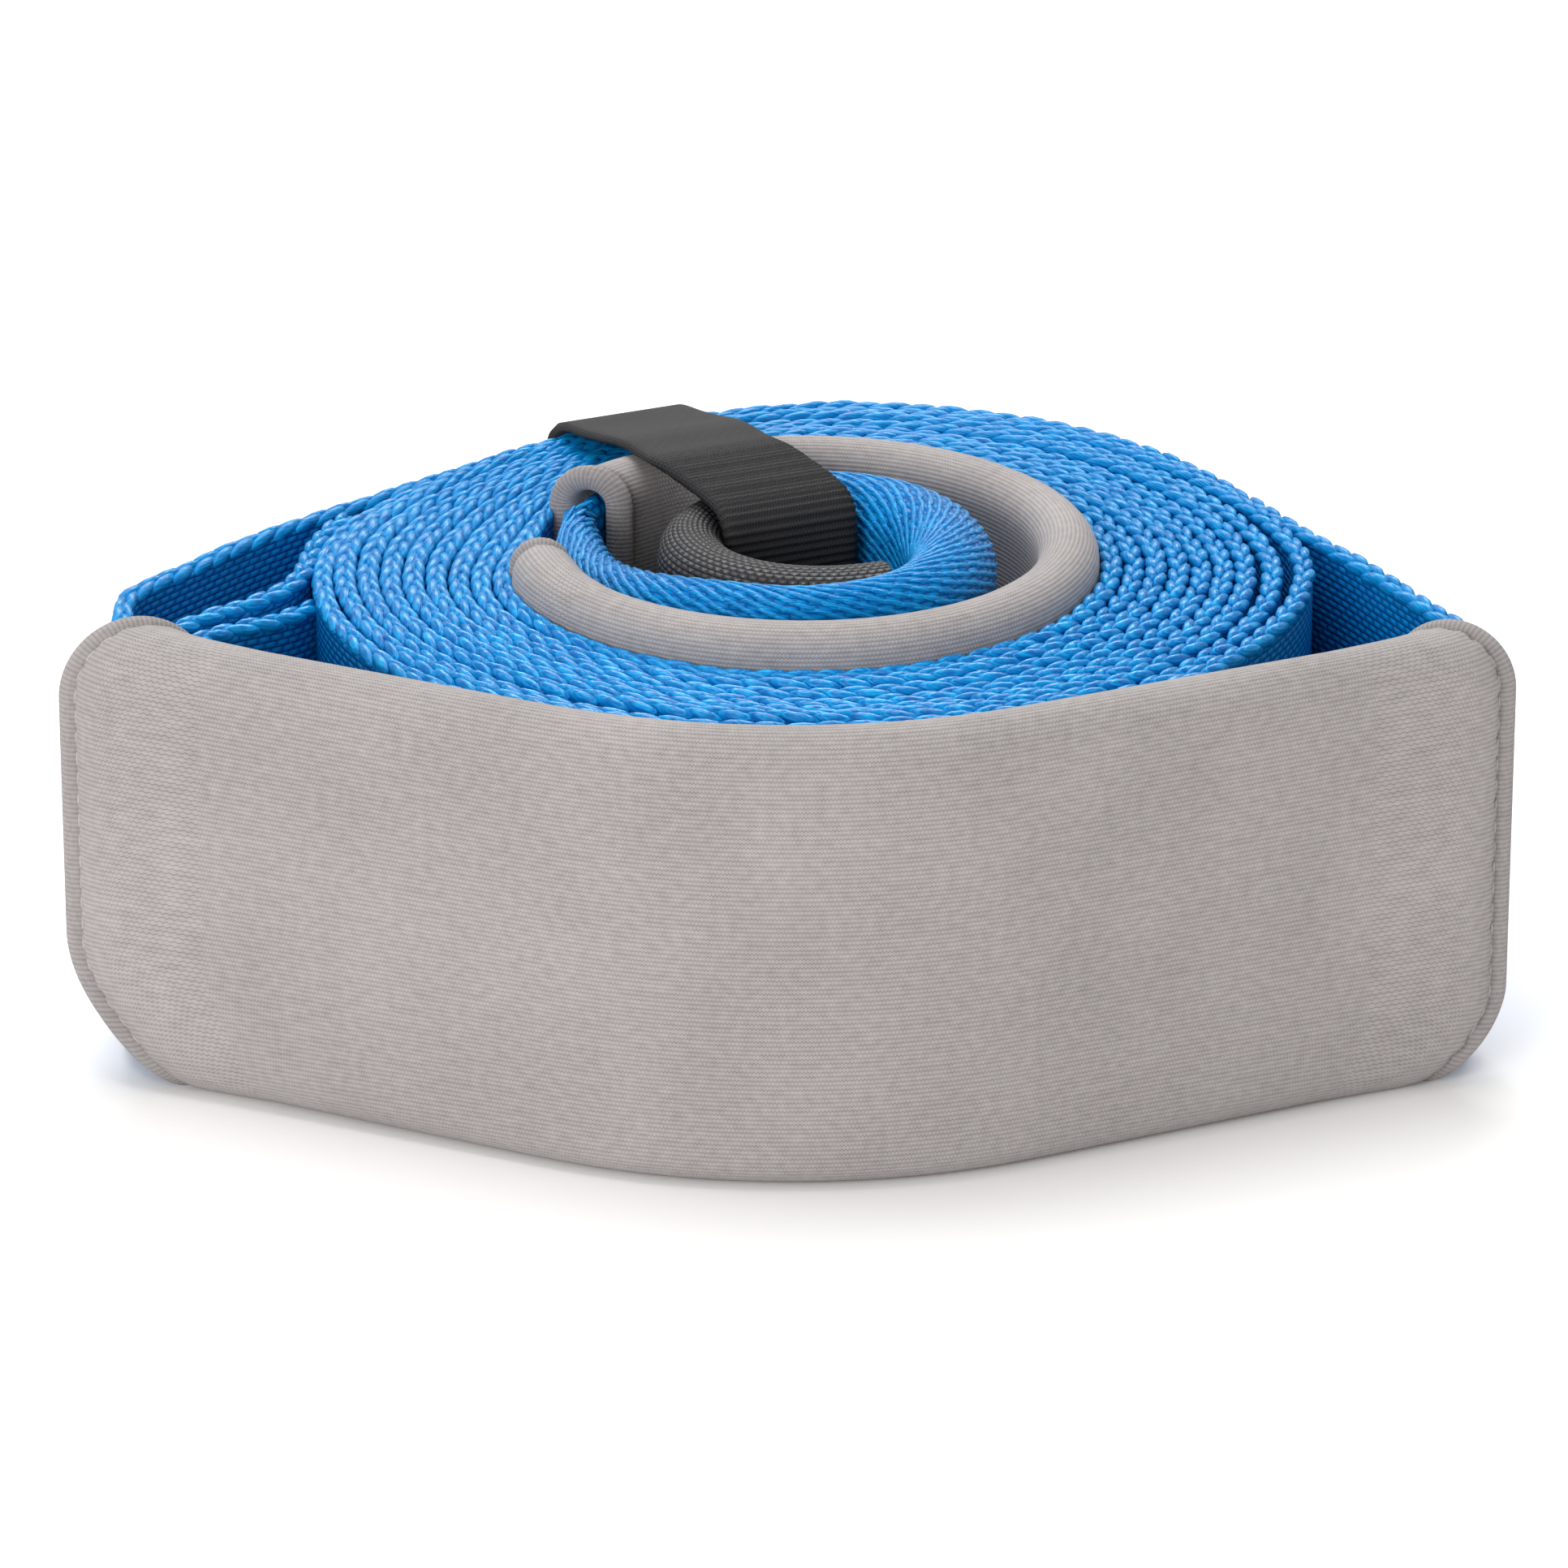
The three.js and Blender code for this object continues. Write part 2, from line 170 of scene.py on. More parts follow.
class Bench:
    """Hand tools shared by the pieces: meshes from primitives, pattern maps and joined copies."""

    @staticmethod
    def deselect() -> None:
        """Deselects every object."""
        bpy.ops.object.select_all(action="DESELECT")

    @staticmethod
    def take(name: str) -> Piece:
        """Names the object that an operator has just made."""
        obj = bpy.context.object
        obj.name = obj.data.name = name
        return obj

    @staticmethod
    def coords(obj: Piece) -> Array:
        """The vertices of an object's mesh as rows of x, y and z."""
        flat = np.empty(len(obj.data.vertices) * 3)
        obj.data.vertices.foreach_get("co", flat)
        return flat.reshape(-1, 3)

    @staticmethod
    def set_coords(obj: Piece, rows: Array) -> None:
        """Moves the vertices of an object's mesh."""
        obj.data.vertices.foreach_set("co", np.ascontiguousarray(rows, dtype=np.float32).ravel())
        obj.data.update()

    @staticmethod
    def edit(obj: Piece, steps: Callable[[], None], smooth_shade: bool = True) -> None:
        """Runs edit-mode operators on one object with all of its mesh selected, then may shade it smooth."""
        Bench.deselect()
        obj.select_set(True)
        bpy.context.view_layer.objects.active = obj
        bpy.ops.object.mode_set(mode="EDIT")
        bpy.ops.mesh.select_all(action="SELECT")
        steps()
        bpy.ops.object.mode_set(mode="OBJECT")
        if smooth_shade:
            bpy.ops.object.shade_smooth()
        obj.select_set(False)

    @staticmethod
    def lay_map(obj: Piece, spots: Array) -> None:
        """Lays a pattern map, in metres, from one spot for each vertex."""
        layer = obj.data.uv_layers[0] if obj.data.uv_layers else obj.data.uv_layers.new()
        layer.name = "UVMap"
        loops = np.empty(len(obj.data.loops), dtype=int)
        obj.data.loops.foreach_get("vertex_index", loops)
        layer.data.foreach_set("uv", spots[loops].astype(np.float32).ravel())

    @staticmethod
    def flat_map(obj: Piece) -> None:
        """Lays a straight piece's pattern map: along it, and up it."""
        x, y, z = Bench.coords(obj).T
        Bench.lay_map(obj, np.column_stack([x, y + z]))

    @staticmethod
    def wrap(name: str, length: float, girth: float, counts: tuple[int, int],
             place: Callable[[Array, Array], Array]) -> Piece:
        """Rolls a flat grid into a closed body, as cloth is wrapped round a core.

        Args:
            length: Length of the cloth in millimetres, for its pattern.
            girth: Width of the cloth in millimetres, for its pattern.
            counts: Faces along and round.
            place: Gives millimetre positions for shares along and round, both from 0 to 1.

        Returns:
            The body, with its seam and ends closed.
        """
        Bench.deselect()
        bpy.ops.mesh.primitive_grid_add(
            x_subdivisions=counts[0], y_subdivisions=counts[1], size=1.0, location=(0.5, 0.5, 0.0))
        bpy.ops.object.transform_apply(location=True)
        obj = Bench.take(name)
        flat = Bench.coords(obj)
        Bench.lay_map(obj, flat[:, :2] * np.array([length, girth]) * MM)
        Bench.set_coords(obj, place(flat[:, 0], flat[:, 1]) * MM)

        def close() -> None:
            """Closes the seam and the two ends, and turns the faces out."""
            bpy.ops.mesh.remove_doubles(threshold=0.00001)
            bpy.ops.mesh.select_all(action="DESELECT")
            bpy.ops.mesh.select_mode(type="EDGE")
            bpy.ops.mesh.select_non_manifold()
            bpy.ops.mesh.edge_face_add()
            bpy.ops.mesh.select_all(action="SELECT")
            bpy.ops.mesh.normals_make_consistent(inside=False)

        Bench.edit(obj, close)
        return obj

    @staticmethod
    def bead(segments: int, rings: int) -> tuple[Array, list[tuple[int, ...]]]:
        """Vertices and faces of a unit bead, the pattern of yarn lobes and stitches."""
        Bench.deselect()
        bpy.ops.mesh.primitive_uv_sphere_add(segments=segments, ring_count=rings, radius=1.0)
        obj = Bench.take("bead")
        rows = Bench.coords(obj)[:, [2, 0, 1]]
        faces = [tuple(face.vertices) for face in obj.data.polygons]
        bpy.data.objects.remove(obj, do_unlink=True)
        return rows, faces

    @staticmethod
    def copies(name: str, pattern: tuple[Array, list[tuple[int, ...]]], frames: Array,
               places: Array) -> Piece:
        """Joins copies of a pattern in one mesh.

        Args:
            pattern: Vertices and faces of one copy.
            frames: One 3 by 3 matrix for each copy, whose columns are its axes.
            places: One position for each copy.
        """
        rows, faces = pattern
        spread = np.einsum("nij,mj->nmi", frames, rows) + places[:, None, :]
        size = len(rows)
        mesh = bpy.data.meshes.new(name)
        mesh.from_pydata(
            (spread.reshape(-1, 3) * MM).tolist(), [],
            [tuple(i * size + v for v in face) for i in range(len(places)) for face in faces])
        obj = bpy.data.objects.new(name, mesh)
        bpy.context.collection.objects.link(obj)
        Bench.flat_map(obj)
        Bench.edit(obj, lambda: bpy.ops.mesh.normals_make_consistent(inside=False))
        return obj

    @staticmethod
    def turn(yaw: Array, pitch: Array, sizes: Array) -> Array:
        """Frames of copies turned in the plan and tipped up, in degrees, with their three sizes."""
        y, p = np.radians(yaw), np.radians(pitch)
        ahead = np.column_stack([np.cos(y) * np.cos(p), np.sin(y) * np.cos(p), np.sin(p)])
        aside = np.column_stack([-np.sin(y), np.cos(y), 0 * y])
        return np.stack([ahead, aside, np.cross(ahead, aside)], axis=2) * sizes[:, None, :]


@dataclass(frozen=True)
class Layout:
    """Where the roll's own centre lies in the frame, in millimetres."""

    left_reach: float = 133.0
    front_reach: float = 99.8

    @property
    def shift(self) -> Array:
        """The roll's centre, read from the front sleeve's box."""
        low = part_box("front_sleeve")[0]
        return np.array([low[0] / MM + self.left_reach, low[1] / MM + self.front_reach, 0.0])


LAYOUT = Layout()


@dataclass(frozen=True)
class Press:
    """How the tie pulls the turns in at the roll's back left, and the winding packs them elsewhere."""

    inner: float = 53.3
    outer: float = 89.1
    sag: float = 5.5
    stops: Stops = (
        (2, 0.0), (13, 0.05), (31, 0.095), (54, 0.1), (69, 0.13), (82, 0.145), (89, 0.17), (104, 0.26),
        (115, 0.3), (125, 0.318), (138, 0.31), (147, 0.27), (159, 0.17), (166, 0.1), (174, 0.06),
        (190, 0.04), (215, 0.0))

    def share(self, azimuth: Array) -> Array:
        """Share of its distance from the inner sleeve that a point loses, at angles in degrees."""
        fine = np.arange(-30.0, 391.0)
        rough = np.interp(fine, *np.array(self.stops, float).T)
        window = np.hanning(15)
        return np.interp(azimuth % 360.0, fine, np.convolve(rough, window / window.sum(), mode="same"))

    def move(self, plan: Array) -> Array:
        """Plan points pressed in towards the roll's centre, the inner turns most beside the sleeve's ends."""
        radius = np.linalg.norm(plan, axis=1)
        past = np.maximum(radius - self.inner, 0.0)
        azimuth = np.degrees(np.arctan2(plan[:, 1], plan[:, 0]))
        sunk = np.clip((self.outer - radius) / (self.outer - self.inner), 0.0, 1.0) * smooth(radius, 45.0, 51.0)
        sunk *= self.sag * hump(azimuth % 360.0, 166.0, 20.0)
        return plan * ((radius - past * self.share(azimuth) - sunk) / radius)[:, None]


PRESS = Press()


def bend(obj: Piece, line: PlanLine, reshape: Callable[[Array], Array] | None = None) -> None:
    """Bends a straight piece, laid along X and reshaped first, along a plan line, and presses it in."""
    rows = Bench.coords(obj) / MM
    if reshape is not None:
        rows = reshape(rows)
    plan = PRESS.move(line.place(rows[:, 0], rows[:, 1]))
    Bench.set_coords(obj, (np.column_stack([plan, rows[:, 2]]) + LAYOUT.shift) * MM)


def settle(obj: Piece, material: bpy.types.Material, slot: str, *nodes: str) -> Piece:
    """Dresses a finished piece, fixes it to the part and hides the CAD nodes that it stands for."""
    obj.data.materials.clear()
    obj.data.materials.append(material)
    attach(obj, "root")
    if nodes:
        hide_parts(*nodes)
    LOG.info("%s: %d faces", obj.name, len(obj.data.polygons))
    return obj


class Wire:
    """A value in a node tree, so that a pattern is written as a sum."""

    def __init__(self, tree: bpy.types.NodeTree, socket: bpy.types.NodeSocket) -> None:
        """Holds a socket of the tree."""
        self.tree = tree
        self.socket = socket

    def math(self, operation: str, *others: "Wire | float") -> "Wire":
        """One math node on this value and others."""
        node = self.tree.nodes.new("ShaderNodeMath")
        node.operation = operation
        for slot, value in zip(node.inputs, (self, *others)):
            if isinstance(value, Wire):
                self.tree.links.new(value.socket, slot)
            else:
                slot.default_value = value
        return Wire(self.tree, node.outputs[0])

    __add__ = partialmethod(math, "ADD")
    __sub__ = partialmethod(math, "SUBTRACT")
    __mul__ = partialmethod(math, "MULTIPLY")
    __truediv__ = partialmethod(math, "DIVIDE")

    def wave(self, pitch: float) -> "Wire":
        """A wave from 0 to 1 and back over each pitch."""
        return (self * (2 * math.pi / pitch)).math("COSINE") * -0.5 + 0.5

    def arch(self, pitch: float) -> "Wire":
        """Half-round ridges, one to a pitch."""
        return (self * (math.pi / pitch)).math("SINE").math("ABSOLUTE").math("POWER", 0.7)

    def every_other(self, pitch: float) -> "Wire":
        """0 and 1 by turns, each for one pitch."""
        return (self / pitch).math("FLOOR").math("MODULO", 2.0).math("ABSOLUTE")

    def between(self, low: float, high: float) -> "Wire":
        """A smooth step from 0 to 1."""
        node = self.tree.nodes.new("ShaderNodeMapRange")
        node.interpolation_type = "SMOOTHSTEP"
        self.tree.links.new(self.socket, node.inputs[0])
        node.inputs[1].default_value, node.inputs[2].default_value = low, high
        return Wire(self.tree, node.outputs[0])


@dataclass(frozen=True)
class Cloth:
    """What the pattern of a finish can read: millimetres along and across, and noise."""

    tree: bpy.types.NodeTree
    along: Wire
    across: Wire

    def noise(self, along: float, across: float, detail: float = 2.0) -> Wire:
        """Noise from 0 to 1 with grains of the given size in millimetres."""
        joined = self.tree.nodes.new("ShaderNodeCombineXYZ")
        self.tree.links.new((self.along / along).socket, joined.inputs[0])
        self.tree.links.new((self.across / across).socket, joined.inputs[1])
        node = self.tree.nodes.new("ShaderNodeTexNoise")
        node.inputs["Scale"].default_value = 1.0
        node.inputs["Detail"].default_value = detail
        self.tree.links.new(joined.outputs[0], node.inputs["Vector"])
        return Wire(self.tree, node.outputs[0])


@dataclass(frozen=True)
class Finish:
    """A material: the colour in the hollows, the colour on the crests, and how it shines. Where a pattern mixes
    them by its relief, the hollow colour is painted shade and the crest colour partly painted light.
    """

    name: str
    hollow: Triple
    crest: Triple
    roughness: float
    relief: float = 0.2
    sheen: float = 0.0
    specular: float = 0.5
    tint: Triple = (1.0, 1.0, 1.0)

    def pattern(self, cloth: Cloth) -> tuple[Wire, Wire]:
        """Height and colour share of the surface, each from 0 to 1."""
        grain = cloth.noise(0.6, 0.6)
        return grain, grain

    def build(self) -> bpy.types.Material:
        """Makes the material from the piece's own map."""
        material = bpy.data.materials.new(self.name)
        material.use_nodes = True
        tree = material.node_tree
        shader = tree.nodes["Principled BSDF"]
        uv = tree.nodes.new("ShaderNodeUVMap")
        uv.uv_map = "UVMap"
        split = tree.nodes.new("ShaderNodeSeparateXYZ")
        tree.links.new(uv.outputs[0], split.inputs[0])
        along, across = (Wire(tree, split.outputs[i]) / MM for i in (0, 1))
        height, share = self.pattern(Cloth(tree, along, across))
        # Mixes hollow and crest colours by the pattern's share; where that share follows the height, this paints
        # shade into the hollows and light onto the crests.
        mix = tree.nodes.new("ShaderNodeMix")
        mix.data_type = "RGBA"
        tree.links.new(share.math("MAXIMUM", 0.0).math("MINIMUM", 1.0).socket, mix.inputs[0])
        mix.inputs[6].default_value = (*self.hollow, 1.0)
        mix.inputs[7].default_value = (*self.crest, 1.0)
        tree.links.new(mix.outputs[2], shader.inputs["Base Color"])
        bump = tree.nodes.new("ShaderNodeBump")
        bump.inputs["Strength"].default_value = 1.0
        bump.inputs["Distance"].default_value = self.relief * MM
        tree.links.new(height.socket, bump.inputs["Height"])
        tree.links.new(bump.outputs[0], shader.inputs["Normal"])
        for label, value in (("Roughness", self.roughness), ("Specular IOR Level", self.specular),
                             ("Sheen Weight", self.sheen), ("Specular Tint", (*self.tint, 1.0))):
            shader.inputs[label].default_value = value
        return material


@dataclass(frozen=True)
class Weave(Finish):
    """The webbing's face: staggered floats of yarn in columns across the width."""

    column: float = 2.8
    row: float = 1.25

    def pattern(self, cloth: Cloth) -> tuple[Wire, Wire]:
        """Short floats along the webbing, each row half a column on from the last."""
        wander = cloth.noise(14.0, 9.0) * 0.7
        shifted = cloth.along + cloth.across.every_other(self.row) * (self.column / 2) + wander
        floats = shifted.arch(self.column) * cloth.across.arch(self.row)
        fibres = cloth.noise(3.0, 0.22)
        tone = cloth.noise(30.0, 20.0)
        # Colour follows the floats: painted shade in the hollows between them and painted light on their crests;
        # fibres and tone add random colour.
        return floats + fibres * 0.15, floats * 0.75 + fibres * 0.3 + tone * 0.3 - 0.12


@dataclass(frozen=True)
class Yarn(Finish):
    """A bundle of glossy filaments along each lobe."""

    def pattern(self, cloth: Cloth) -> tuple[Wire, Wire]:
        """Fine filaments, with painted highlight streaks along them and random tone."""
        fibres = cloth.noise(2.6, 0.32, 3.0)
        tone = cloth.noise(7.0, 7.0)
        # The light streaks where the filament noise is high are painted highlight; the darker rest is painted
        # shade, and the tone varies at random.
        return fibres, fibres.between(0.38, 0.72) * 0.65 + tone * 0.5 - 0.12


@dataclass(frozen=True)
class Knit(Finish):
    """Jersey on foam: rows of tiny loops."""

    pitch: float = 0.76

    def pattern(self, cloth: Cloth) -> tuple[Wire, Wire]:
        """Loops in rows across the sleeve, each staggered by half a loop, with painted shade in the gaps between
        them, and faint mottling.
        """
        stagger = cloth.across.every_other(self.pitch) * (self.pitch / 2)
        loops = (cloth.along + stagger).wave(self.pitch) * 0.45 + cloth.across.wave(self.pitch) * 0.55
        mottle = cloth.noise(2.4, 1.6, 3.0)
        tone = cloth.noise(26.0, 26.0)
        # Colour darkens where the loops dip, as painted shade between them; the mottle and tone are the knit's own
        # random colour.
        return loops, loops.between(0.02, 0.6) * 0.45 + mottle * 0.5 + tone * 0.3 - 0.05


@dataclass(frozen=True)
class Ballistic(Finish):
    """The eye cover: a coarse plain weave with painted glints on each yarn."""

    pitch: float = 1.6

    def pattern(self, cloth: Cloth) -> tuple[Wire, Wire]:
        """Yarns over and under by turns, darker in their dips as painted shade, and a short painted highlight dash
        on some of them.
        """
        step = cloth.across.every_other(self.pitch / 2) * (self.pitch / 2)
        yarns = (cloth.along + step).arch(self.pitch) * cloth.across.arch(self.pitch / 2)
        # Painted highlight: a light dash near each yarn's crest, on a scattered share of the yarns.
        glint = (cloth.along + step).wave(self.pitch).between(0.8, 0.98)
        glint = glint * cloth.across.wave(self.pitch / 2).between(0.55, 0.95)
        scatter = cloth.noise(2.2, 1.4).between(0.42, 0.62)
        return yarns, yarns * 0.25 + glint * scatter * 0.75


@dataclass(frozen=True)
class Twill(Finish):
    """The tie's cloth: a fine twill with fuzz."""

    twill_pitch: float = 0.7
    row: float = 0.55

    def pattern(self, cloth: Cloth) -> tuple[Wire, Wire]:
        """Slanting and straight rows, and the fuzz on them."""
        twill = (cloth.along + cloth.across).wave(self.twill_pitch) * 0.5 + cloth.across.wave(self.row) * 0.5
        fuzz = cloth.noise(0.5, 0.5, 4.0)
        tone = cloth.noise(9.0, 9.0)
        return twill + fuzz * 0.6, twill * 0.25 + fuzz * 0.4 + tone * 0.35


# Hollow colours: painted shade in the dips of each pattern's relief. Crest colours: partly painted light on the
# raised parts; the yarn's crest gives painted highlight streaks and the eye cloth's crest painted glints.
WEBBING_FACE = Weave("webbing_face", (0.0, 0.045, 0.24), (0.0, 0.23, 0.62), 0.38, relief=0.35, specular=0.3,
                     tint=(0.3, 0.7, 1.0))
WEBBING_YARN = Yarn("webbing_yarn", (0.0, 0.1, 0.38), (0.006, 0.43, 0.86), 0.28, relief=0.14, specular=0.5,
                    tint=(0.3, 0.7, 1.0))
NEOPRENE = Knit("neoprene", (0.13, 0.118, 0.115), (0.44, 0.405, 0.395), 0.85, relief=0.12, sheen=0.15, specular=0.2)
EYE_CLOTH = Ballistic("eye_cloth", (0.004, 0.004, 0.005), (0.16, 0.155, 0.165), 0.5, relief=0.35, specular=0.4)
TIE_CLOTH = Twill("tie_cloth", (0.004, 0.004, 0.005), (0.034, 0.033, 0.035), 0.7, relief=0.14, specular=0.3)
THREAD = Finish("thread", (0.36, 0.31, 0.30), (0.62, 0.56, 0.55), 0.6, relief=0.05)


def stadium(share: Array, half: Array, height: Array) -> tuple[Array, Array, Array]:
    """A section with straight sides and half-round ends, of a half thickness and a height.

    Args:
        share: Shares round the section, from its bottom middle up the outer side.

    Returns:
        Positions across and up from its bottom middle, and the angle that the surface faces, in radians.
    """
    straight = height - 2 * half
    quarter = np.pi * half / 2
    way = share * (2 * straight + 4 * quarter)
    turned = np.clip(way / quarter, 0, 1) + np.clip((way - quarter - straight) / quarter, 0, 2)
    turned += np.clip((way - 3 * quarter - 2 * straight) / quarter, 0, 1)
    climb = np.clip(way - quarter, 0, straight) - np.clip(way - 3 * quarter - straight, 0, straight)
    angle = np.radians(-90.0 + 90.0 * turned)
    return half * np.cos(angle), half + climb + half * np.sin(angle), angle


@dataclass(frozen=True)
class Strap:
    """The webbing strap: close turns, a loose outer turn and two ends.

    Each slack entry is a place in turns from the last turn's start, how far out the webbing stands there,
    and over how much of a turn.
    """

    bottom: float = 4.0
    width: float = 75.0
    body: float = 3.3
    pitch: float = 4.0
    turns: int = 9
    first_radius: float = 55.2
    loose_radius: float = 91.3
    leave_radius: float = 90.3
    sleeve_radius: float = 47.5
    front_radius: float = 94.6
    raised: float = 2.35
    edge_margin: float = 2.2
    edge_round: float = 1.2
    segment: float = 2.4
    climb_start: float = 0.74
    slack: tuple[Triple, ...] = ((0.33, 2.4, 0.085), (-0.67, 0.8, 0.085), (0.83, 0.9, 0.07))
    lobe_pitch: float = 5.6
    lobe_half: Triple = (3.9, 1.12, 1.35)
    lobe_spread: Triple = (0.3, 0.08, 0.08)
    lobe_row: float = 0.85
    lobe_lean: float = 9.0
    lobe_tip: float = 7.0
    lobe_stray: Triple = (0.35, 0.1, 0.12)
    lobe_sway: float = 3.0
    inside_sweep: float = 303.0
    lap_drop: Pair = (3.2, 1.4)
    right_bend: Circle = Circle(104.6, -38.0, 13.0)
    left_front: Circle = Circle(-106.6, -38.0, 15.5)
    left_back: Circle = Circle(-110.6, -20.0, 13.0)
    end_route: Stops = (
        (-92.6, -10.0), (-97.5, -17.5), (-104.5, -24.0), (-111.5, -30.0), (-115.5, -37.0), (-113.5, -46.0))
    lap_route: Stops = (
        (-88.2, -11.0), (-93.6, -20.0), (-101.5, -27.2), (-108.5, -33.2), (-111.5, -39.5), (-110.0, -46.0))

    def winding(self) -> PlanLine:
        """From the inner sleeve through the close turns and the loose turn to the end under the tie."""
        inside = arc(500.0, 184.0, self.sleeve_radius)
        angles = np.linspace(181.0, 122.0, 22)
        part = smooth(angles, 178.0, 126.0)
        join = trace(angles, self.sleeve_radius + (self.first_radius - self.sleeve_radius) * part)
        turned = np.linspace(0.0, self.turns, self.turns * 120 + 1)
        whole = np.minimum(np.floor(turned), self.turns - 1)
        last = self.turns - 1
        climb = smooth(turned - whole, self.climb_start, 1.0) * (whole < last)
        wound = self.first_radius + self.pitch * (whole + climb)
        for place, loose, spread in self.slack:
            wound += loose * hump(turned, last + place, spread)
        spiral = trace(120.0 - 360.0 * turned, wound)
        angles = np.linspace(118.0, 76.0, 16)
        start = self.first_radius + self.pitch * last
        leave = trace(angles, start + (self.leave_radius - start) * smooth(angles, 120.0, 76.0))
        loop = belt([Circle(0.0, 0.0, self.leave_radius), self.right_bend, Circle(0.0, 0.0, self.front_radius),
                     self.left_front, self.left_back, Circle(0.0, 0.0, self.loose_radius)], 74.0, 117.0)
        return PlanLine(np.vstack([inside, join, spiral, leave, loop]), step=1.0, relax=6)

    def outer_end(self) -> PlanLine:
        """The ply that comes from behind the roll's left side into the sleeve's left mouth."""
        return PlanLine(np.vstack([arc(163.0, 183.0, self.loose_radius), self.end_route]), step=1.0, relax=40)

    def outer_lap(self) -> PlanLine:
        """The short lap beside the outer end, which starts at the roll."""
        return PlanLine(np.array(self.lap_route), step=1.0, relax=30)

    def raise_inside(self, rows: Array) -> Array:
        """Lifts the stretch in the inner sleeve, and lets the winding wander a little in height."""
        x, y, z = rows.T
        inside = math.radians(self.inside_sweep) * self.sleeve_radius
        lift = self.raised * (1 - smooth(x, inside - 20.0, inside + 45.0))
        wobble = 0.3 * np.sin(x / 57.0) + 0.2 * np.sin(x / 23.0 + 1.0)
        return np.column_stack([x, y, z + lift + wobble])

    def lower_lap(self, rows: Array) -> Array:
        """Sets the lap a little lower than the webbing beside it, most at the roll."""
        near, far = self.lap_drop
        drop = near + (far - near) * smooth(rows[:, 0], 0.0, 30.0)
        return rows - np.array([0.0, 0.0, 1.0]) * drop[:, None]

    def strip(self, name: str, length: float) -> Piece:
        """The flat strip: one short length with rounded edges, repeated by an array."""
        step = self.segment
        count = math.ceil(length / step)
        Bench.deselect()
        bpy.ops.mesh.primitive_cube_add(size=1.0, location=(0.5, 0.0, 0.0))
        bpy.ops.object.transform_apply(location=True)
        obj = Bench.take(name)
        middle = np.array([0.0, 0.0, self.bottom + self.width / 2])
        size = np.array([step, self.body, self.width - self.edge_margin])
        Bench.set_coords(obj, (Bench.coords(obj) * size + middle) * MM)

        def edge_mode() -> None:
            """Goes to edge mode with nothing selected."""
            bpy.ops.mesh.select_mode(type="EDGE")
            bpy.ops.mesh.select_all(action="DESELECT")

        Bench.edit(obj, edge_mode, False)
        for edge in obj.data.edges:
            a, b = (obj.data.vertices[i].co for i in edge.vertices)
            edge.select = abs(a.x - b.x) > 1e-6
        bpy.context.view_layer.objects.active = obj
        obj.select_set(True)
        bpy.ops.object.mode_set(mode="EDIT")
        bpy.ops.mesh.bevel(offset=self.edge_round * MM, segments=3, affect="EDGES")
        bpy.ops.mesh.select_all(action="DESELECT")
        bpy.ops.object.mode_set(mode="OBJECT")
        for polygon in obj.data.polygons:
            polygon.select = abs(polygon.normal.x) > 0.9
        bpy.ops.object.mode_set(mode="EDIT")
        bpy.ops.mesh.select_mode(type="FACE")
        bpy.ops.mesh.delete(type="FACE")
        bpy.ops.object.mode_set(mode="OBJECT")
        array = obj.modifiers.new("lengths", "ARRAY")
        array.count = count
        array.use_relative_offset = False
        array.use_constant_offset = True
        array.constant_offset_displace = (step * MM, 0.0, 0.0)
        array.use_merge_vertices = True
        array.merge_threshold = 0.01 * MM
        bpy.ops.object.modifier_apply(modifier=array.name)
        rows = Bench.coords(obj)
        rows[:, 0] *= length / (count * step)
        Bench.set_coords(obj, rows)
        Bench.flat_map(obj)
        Bench.edit(obj, lambda: bpy.ops.mesh.normals_make_consistent(inside=False))
        return obj

    def lobes(self, name: str, length: float, top: bool, pattern: tuple) -> Piece:
        """The braided look of one long edge: two rows of yarn lobes that lean to each other."""
        rng = np.random.default_rng(7 if top else 8)
        count = int(length / self.lobe_pitch)
        index = np.arange(2 * count)
        side = index % 2 * 2 - 1
        inset = self.lobe_half[2]

        def stray(spread: float) -> Array:
            """A small random change for each lobe."""
            return rng.uniform(-spread, spread, len(index))

        along, aside, lift = self.lobe_stray
        x = (index + 0.5) * self.lobe_pitch / 2 + stray(along)
        y = side * (self.lobe_row + stray(aside))
        z = self.bottom + (self.width - inset if top else inset) + stray(lift)
        yaw = -side * (self.lobe_lean + stray(self.lobe_sway))
        pitch = (self.lobe_tip + stray(self.lobe_sway)) * (1 if top else -1)
        sizes = np.column_stack([half + stray(spread) for half, spread in zip(self.lobe_half, self.lobe_spread)])
        return Bench.copies(name, pattern, Bench.turn(yaw, pitch, sizes), np.column_stack([x, y, z]))

    def build(self, face: bpy.types.Material, yarn: bpy.types.Material) -> None:
        """Models each stretch and its edges straight, and rolls them up."""
        beads = (("top_edge", True, Bench.bead(8, 6)), ("bottom_edge", False, Bench.bead(6, 4)))
        stretches = (("webbing", self.winding(), self.raise_inside), ("outer_end", self.outer_end(), None),
                     ("outer_lap", self.outer_lap(), self.lower_lap))
        for name, line, change in stretches:
            body = self.strip(name, line.length)
            bend(body, line, change)
            settle(body, face, "webbing", *(("webbing_strap",) if name == "webbing" else ()))
            for label, top, pattern in beads:
                edge = self.lobes(f"{name}_{label}", line.length, top, pattern)
                bend(edge, line, change)
                settle(edge, yarn, "webbing")


